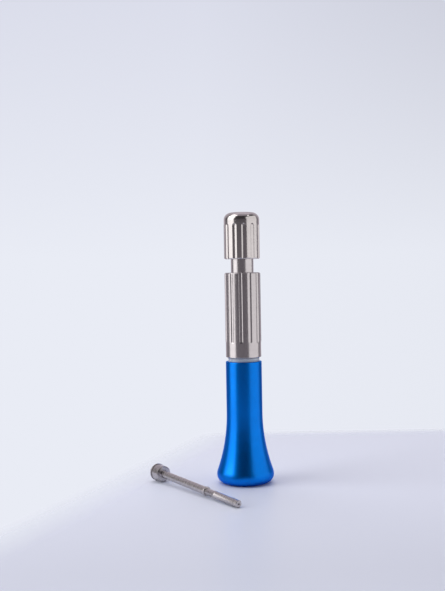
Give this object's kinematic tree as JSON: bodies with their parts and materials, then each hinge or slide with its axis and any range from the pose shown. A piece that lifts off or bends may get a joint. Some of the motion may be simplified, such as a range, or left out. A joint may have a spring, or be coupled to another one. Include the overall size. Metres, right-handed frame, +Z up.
{
  "type": "watchmaker screwdriver handle with loose bit",
  "caption": "Standing watchmaker's hand driver: blue swivel palm grip, fluted nickel barrel and domed screw cap, with its loose flanged steel bit lying beside it.",
  "frame": {"origin": "centre of the flat foot of the palm grip, on the surface that the tool stands on", "axes": "+Z up the axis of the tool to the nose cap; +X to the right and -Y towards a viewer who has the loose bit in front and to the left"},
  "size_m": [0.0418, 0.0439, 0.0903],
  "materials": {
    "blue_anodised": "satin blue anodised over fine turning marks",
    "satin_nickel": "satin nickel plate, fine turning lines",
    "bright_nickel": "polished nickel plate, slightly warm",
    "brushed_nickel": "fine turned nickel plate",
    "white_nylon": "matte translucent white slip washer",
    "bit_steel": "ground tool steel",
    "spring_steel": "oiled spring steel",
    "bearing_steel": "polished bearing steel",
    "plain_aluminium": "turned aluminium",
    "cage_brass": "drilled brass",
    "black_rubber": "matte seal"
  },
  "bodies": {
    "grip": {"palm_grip": "blue_anodised", "base_plug": "blue_anodised", "plug_seal": "black_rubber", "thrust_washer": "white_nylon", "upper_outer_ring": "bearing_steel", "upper_shields": "bearing_steel", "lower_outer_ring": "bearing_steel", "lower_shields": "bearing_steel", "outer_spacer": "plain_aluminium", "preload_shim": "spring_steel", "bearing_circlip": "spring_steel"},
    "spindle": {"spindle": "brushed_nickel", "fluted_barrel": "satin_nickel", "barrel_nut": "spring_steel", "barrel_dowel": "spring_steel", "upper_inner_ring": "bearing_steel", "lower_inner_ring": "bearing_steel", "inner_spacer": "plain_aluminium", "retaining_washer": "spring_steel", "retaining_screw": "spring_steel", "drive_key": "spring_steel"},
    "upper_ball_set": {"upper_balls": "bearing_steel", "upper_cage": "cage_brass"},
    "lower_ball_set": {"lower_balls": "bearing_steel", "lower_cage": "cage_brass"},
    "clamp": {"clamp_ring": "spring_steel"},
    "cap": {"nose_cap": "bright_nickel", "clamp_circlip": "spring_steel"},
    "bit": {"bit_head": "bit_steel", "bit_shank": "bit_steel", "bit_collar": "bit_steel", "bit_tip": "bit_steel"}
  },
  "joints": [
    {"name": "spindle_spin", "type": "hinge", "parent": "grip", "child": "spindle", "pos_m": [0, 0, 0.04], "axis": [0, 0, 1], "continuous": true},
    {"name": "upper_balls_roll", "type": "hinge", "parent": "grip", "child": "upper_ball_set", "pos_m": [0, 0, 0.0381], "axis": [0, 0, 1], "continuous": true},
    {"name": "lower_balls_roll", "type": "hinge", "parent": "grip", "child": "lower_ball_set", "pos_m": [0, 0, 0.0181], "axis": [0, 0, 1], "continuous": true},
    {"name": "clamp_lift", "type": "slide", "parent": "spindle", "child": "clamp", "axis": [0, 0, 1], "range_m": [0, 0.0045]},
    {"name": "cap_unscrew", "type": "hinge", "parent": "clamp", "child": "cap", "pos_m": [0, 0, 0.08], "axis": [0, 0, 1], "range_deg": [0, 2160]},
    {"name": "bit_lift", "type": "slide", "parent": "grip", "child": "bit", "axis": [0, 0, 1], "range_m": [0, 0.06]}
  ],
  "couplings": [
    {"joint": "upper_balls_roll", "follows": "spindle_spin", "ratio": 0.40333},
    {"joint": "lower_balls_roll", "follows": "spindle_spin", "ratio": 0.40333},
    {"joint": "clamp_lift", "follows": "cap_unscrew", "m_per_rad": 0.00011937}
  ]
}
